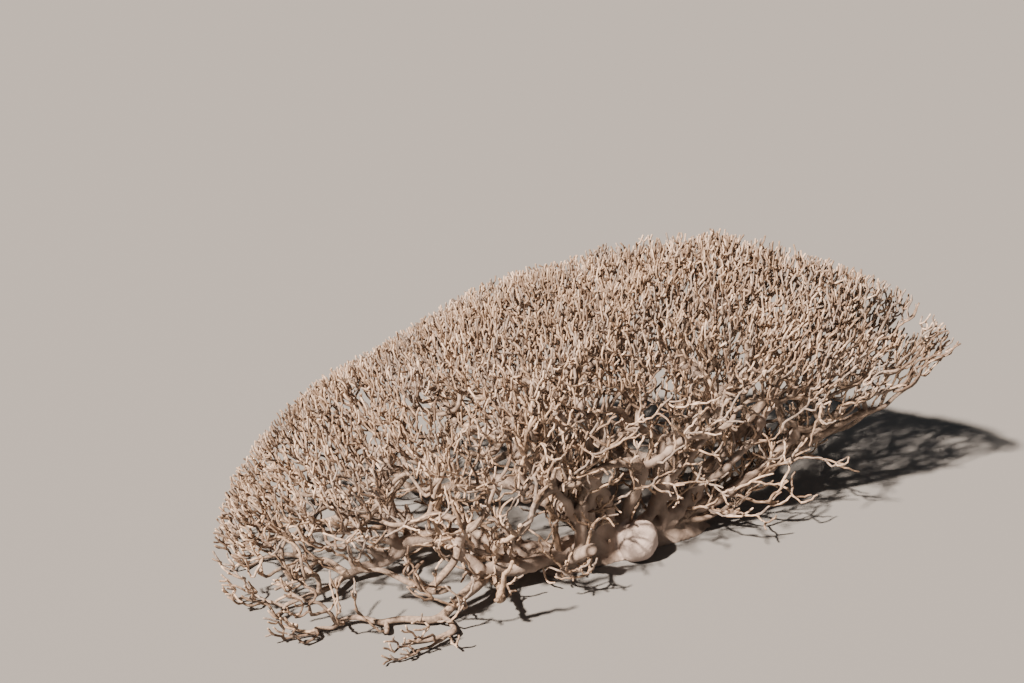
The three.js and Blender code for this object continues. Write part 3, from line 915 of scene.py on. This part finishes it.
def bough_courses(tree, rows, heading, straight):
    """Rings of the thick limbs, from inside the trunk out"""
    made = []
    for row in rows:
        host = tree["parent"][row[0]]
        follower = straight[row[-1]]
        points = tree["point"][row]
        radii = tree["radius"][row]
        if host < 0:
            swollen = ROOT_SWELL * radii[0]
            root = tree["spring"][row[0]] + (TRUNK_MIDDLE - tree["spring"][row[0]]) * ROOT_DEPTH
            root[2] = tree["spring"][row[0]][2]
            start = np.array([root, tree["spring"][row[0]], tree["half"][row[0]]])
            points = np.concatenate([start, points])
            radii = np.concatenate([[swollen] * len(start), radii])
        else:
            goes_on = straight[host] == row[0]
            base = tree["radius"][host] if goes_on else radii[0] * BOUGH_FOOT
            points = np.concatenate([[tree["point"][host]], points])
            radii = np.concatenate([[base], radii])
        leave = unit(points[1] - points[0])
        arrive = unit(unit(points[-1] - points[-2]) + heading[follower])
        centres, widths = course(points, radii, leave, arrive, tree["key"][row[0]], BOUGH_SHAPE)
        made.append(round_end(centres, widths))
    return made


def trunk_core():
    """Lobed and flared at the ground, narrower and rounded at the top"""
    axis = TRUNK_RIGHT - TRUNK_LEFT
    half_length = np.linalg.norm(axis[:2]) / 2
    along = np.array((axis[0], axis[1], 0)) / (2 * half_length)
    aside = np.array((-along[1], along[0], 0))
    turn = np.arange(CORE_SIDES) * 2 * math.pi / CORE_SIDES
    rings = []
    for i in range(CORE_LEVELS + 1):
        level = i / CORE_LEVELS
        lobe = 1 + sum(depth * np.sin(count * turn + start) for count, depth, start in FLARE_LOBES)
        flare = 1 + FLARE * (1 - level) ** FLARE_POWER * lobe
        rounding = max(0, (level - TRUNK_ROUND_FROM) / (TRUNK_ROUND_TO - TRUNK_ROUND_FROM))
        round_off = math.sqrt(1 - rounding**2)
        width = TRUNK_HALF_WIDTH * (1 - (1 - TRUNK_TOP_SHARE) * level) * flare * round_off
        reach = width + half_length * (1 - (1 - TRUNK_TOP_LENGTH_SHARE) * level) * round_off
        x = np.cos(turn) * reach + LEAN[0] * level
        waist = 1 - TRUNK_WAIST * np.sin(turn) ** 2
        y = np.sin(turn) * width * waist + LEAN[1] * level
        ring = TRUNK_MIDDLE + x[:, None] * along + y[:, None] * aside
        ring[:, 2] = TRUNK_HEIGHT * level
        rings.append(ring)
    points = np.concatenate(rings)
    count = len(points)
    quads = ring_quads(np.arange(CORE_LEVELS)[:, None] * CORE_SIDES, CORE_SIDES)
    fans = pole_fans(count, 0, count + 1, CORE_LEVELS * CORE_SIDES, CORE_SIDES)
    return np.concatenate([points, [rings[0].mean(0), rings[-1].mean(0)]]), quads, fans


def egg(at, radii, axis, stretch):
    """An egg as rings along its leaning axis, for the skin function"""
    angle = (np.arange(EGG_RINGS) + 0.5) / EGG_RINGS * math.pi
    axis = np.array(axis) / np.linalg.norm(axis)
    centres = np.array(at) - np.cos(angle)[:, None] * axis * radii[2] * stretch
    return centres, np.sin(angle) * (radii[0] + radii[1]) / 2 / stretch


def stub(start, end, radius):
    share = np.linspace(0, 1, STUB_RINGS)[:, None]
    centres = np.array(start) + (np.array(end) - np.array(start)) * share
    return centres, radius * (STUB_FOOT - STUB_TAPER * share[:, 0])


def broken_stubs(boughs):
    made = []
    for number, limb in enumerate(boughs):
        for point, along, radius, key in sites(limb, STUB_STEP, key_of(STUB_KEYS, number)):
            out = off_limb(along, key)
            reach = radius + between(STUB_LENGTHS, chance(key, 91))
            made.append(stub(point, point + out * reach, between(STUB_RADII, chance(key, 92))))
    return made


def join(parts):
    points, quads, fans, count = [], [], [], 0
    for p, q, f in parts:
        points.append(p)
        quads.append(q + count)
        fans.append(f + count)
        count += len(p)
    return np.concatenate(points), np.concatenate(quads), np.concatenate(fans)


def distance_along(limbs, points):
    """How far along its nearest limb each point lies"""
    centres = np.concatenate([c for c, _ in limbs])
    steps = [length(np.diff(c, axis=0)) for c, _ in limbs]
    run = np.concatenate([np.concatenate([[0], np.cumsum(step)]) for step in steps])
    finder = KDTree(len(centres))
    for i, centre in enumerate(centres):
        finder.insert(centre, i)
    finder.balance()
    return np.array([run[finder.find(p)[1]] for p in points])


def vertex_values(mesh, name):
    values = np.empty(len(mesh.vertices) * 3)
    mesh.vertices.foreach_get(name, values)
    return values.reshape(-1, 3)


def build_bark(boughs):
    """One skin over the limbs, the knob, the stubs and the trunk's core, with bark relief"""
    limbs = boughs + [egg(KNOB_AT, KNOB_RADII, KNOB_AXIS, KNOB_EGG)]
    limbs += [stub(*one) for one in STUBS] + broken_stubs(boughs)
    rough = make_object("rough", *join([skin(limbs, BARK_SIDES)[:3], trunk_core()]), [])
    remesh = rough.modifiers.new("one_skin", "REMESH")
    remesh.mode = "VOXEL"
    remesh.voxel_size = VOXEL
    smooth = rough.modifiers.new("soft_forks", "SMOOTH")
    smooth.factor = SOFT_FACTOR
    smooth.iterations = SOFT_STEPS
    bpy.context.view_layer.update()
    finished = rough.evaluated_get(bpy.context.evaluated_depsgraph_get())
    mesh = bpy.data.meshes.new_from_object(finished)
    bpy.data.objects.remove(rough)
    mesh.name = "bark"
    points = vertex_values(mesh, "co")
    normals = vertex_values(mesh, "normal")
    along = distance_along(limbs, points)
    drift = np.sin(along * RIDGE_DRIFT_WAVES) * RIDGE_DRIFT
    ridge = np.sin(2 * math.pi * (along / RIDGE_LENGTH + drift))
    x, y, z = points.T
    bend = LUMP_BEND * np.sin(y * LUMP_BEND_WAVES)
    lump = np.sin(x * LUMP_WAVES[0] + bend) * np.sin(y * LUMP_WAVES[1] + z * LUMP_WAVES[2])
    relief = RIDGE_HEIGHT * ridge + LUMP_HEIGHT * lump
    points += normals * relief[:, None]
    points[:, 2] = np.maximum(points[:, 2], 0)
    mesh.vertices.foreach_set("co", points.ravel())
    mesh.update()
    mesh.polygons.foreach_set("use_smooth", np.ones(len(mesh.polygons), bool))
    piece = bpy.data.objects.new("bark", mesh)
    bpy.context.scene.collection.objects.link(piece)
    print("bark faces", len(mesh.polygons))
    return piece


def bark_material():
    """Matt bark with darker patches and a fine bump, paler on the knob"""
    material, nodes, links, shader = principled("bark", BARK_ROUGHNESS)
    patches = noise(nodes, links, *BARK_PATCHES)
    bark_colour = two_colours(nodes, links, patches, BARK_RAMP, BARK_DARK, BARK_LIGHT)
    knob = nodes.new("ShaderNodeVectorMath")
    knob.operation = "DISTANCE"
    links.new(nodes.new("ShaderNodeTexCoord").outputs["Object"], knob.inputs[0])
    knob.inputs[1].default_value = KNOB_AT
    fade = nodes.new("ShaderNodeMapRange")
    fade.inputs["From Min"].default_value = KNOB_RADII[0] * KNOB_FADE[0]
    fade.inputs["From Max"].default_value = KNOB_RADII[0] * KNOB_FADE[1]
    links.new(knob.outputs["Value"], fade.inputs["Value"])
    paler = nodes.new("ShaderNodeMix")
    paler.data_type = "RGBA"
    links.new(fade.outputs["Result"], paler.inputs["Factor"])
    links.new(bark_colour, paler.inputs["A"])
    paler.inputs["B"].default_value = (*KNOB_COLOUR, 1)
    links.new(paler.outputs["Result"], shader.inputs["Base Color"])
    add_bump(nodes, links, shader, noise(nodes, links, *BARK_BUMPS), *BARK_BUMP)
    return material


# The shrub

tree = grow()
tips = tree["point"][tree["is_tip"]]
crown = KDTree(len(tips))
for number, tip in enumerate(tips):
    crown.insert((tip[0], tip[1], 0), number)
crown.balance()

traced, heading, straight = trace_twigs(tree)
boughs = bough_courses(tree, traced[0], heading, straight)
old_twigs = [twig_course(tree, row, heading, straight, OLD_SHAPE) for row in traced[1]]
shoots = [twig_course(tree, row, heading, straight, SHOOT_SHAPE) for row in traced[2]]
branches, sprays = low_branches()
limbs, limb_ends = inner_limbs()
sides = side_shoots(boughs + limbs, old_twigs) + front_branches(boughs) + limb_ends + sprays
old_twigs += branches

shoot_materials = [twig_material(*tint) for tint in SHOOT_TINTS]
spray = np.floor(np.array([tree["key"][row[0]] for row in traced[2]]) / KEYS_TO_A_SPRAY)
size = np.array([tree["size"][row[0]] for row in traced[2]])
tints = np.floor(chance(spray, 31) * LIGHT_TINTS).astype(int)
# Painted shade: the thicker shoots inside the crown take the dark brown tint
tints[(size > PAINTED_SHADE_FROM) & (chance(spray, 32) < PAINTED_SHADE_SHARE)] = LIGHT_TINTS
side_tints = np.floor(chance(np.arange(len(sides)), 33) * LIGHT_TINTS).astype(int)
old_tints = np.zeros(len(old_twigs), int)

pieces = split_pieces("shoots", shoots, SHOOT_SIDES, shoot_materials, tints)
pieces += split_pieces("side_shoots", sides, SHOOT_SIDES, shoot_materials, side_tints)
# Old twigs in their darker tint, partly painted shade
pieces += split_pieces("old_twigs", old_twigs, OLD_SIDES, [twig_material(*OLD_TINT_AND_SHADE)], old_tints)

bark = build_bark(boughs + limbs)
bark.data.materials.append(bark_material())

mass_nodes = [name for name in frame["nodes"] if name.startswith("twig_mass")]
limb_nodes = [name for name in frame["nodes"] if not name.startswith("twig_mass")]
for piece in pieces:
    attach(piece, "root")
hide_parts(*mass_nodes)
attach(bark, "root")
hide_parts(*limb_nodes)


# Floor, light and camera

def make_floor():
    mesh = bpy.data.meshes.new("floor")
    corners = [(x * FLOOR_HALF, y * FLOOR_HALF, 0) for x, y in ((-1, -1), (1, -1), (1, 1), (-1, 1))]
    mesh.from_pydata(corners, [], [(0, 1, 2, 3)])
    floor = bpy.data.objects.new("floor", mesh)
    bpy.context.scene.collection.objects.link(floor)
    material, _, _, shader = principled("floor", FLOOR_ROUGHNESS)
    shader.inputs["Base Color"].default_value = (*FLOOR_COLOUR, 1)
    mesh.materials.append(material)


def make_world():
    world = bpy.data.worlds.new("studio")
    world.use_nodes = True
    background = world.node_tree.nodes["Background"]
    background.inputs["Color"].default_value = (*WORLD_COLOUR, 1)
    background.inputs["Strength"].default_value = WORLD_STRENGTH
    bpy.context.scene.world = world


def make_sun():
    light = bpy.data.lights.new("key", "SUN")
    light.angle = math.radians(SUN_ANGLE)
    light.energy = SUN_STRENGTH
    light.color = SUN_COLOUR
    lamp = bpy.data.objects.new("key", light)
    lamp.location = SUN_AT
    lamp.rotation_mode = "QUATERNION"
    lamp.rotation_quaternion = (-Vector(SUN_AT)).to_track_quat("-Z", "Y")
    bpy.context.scene.collection.objects.link(lamp)


def make_camera():
    camera = bpy.data.cameras.new("camera")
    camera.sensor_width = CAMERA_SENSOR
    camera.lens = CAMERA_SENSOR / 2 / math.tan(math.radians(CAMERA_VIEW) / 2)
    holder = bpy.data.objects.new("camera", camera)
    holder.location = CAMERA_AT
    holder.rotation_euler = (math.radians(90 - CAMERA_DOWN), 0, 0)
    bpy.context.scene.collection.objects.link(holder)
    bpy.context.scene.camera = holder


make_floor()
make_world()
make_sun()
make_camera()
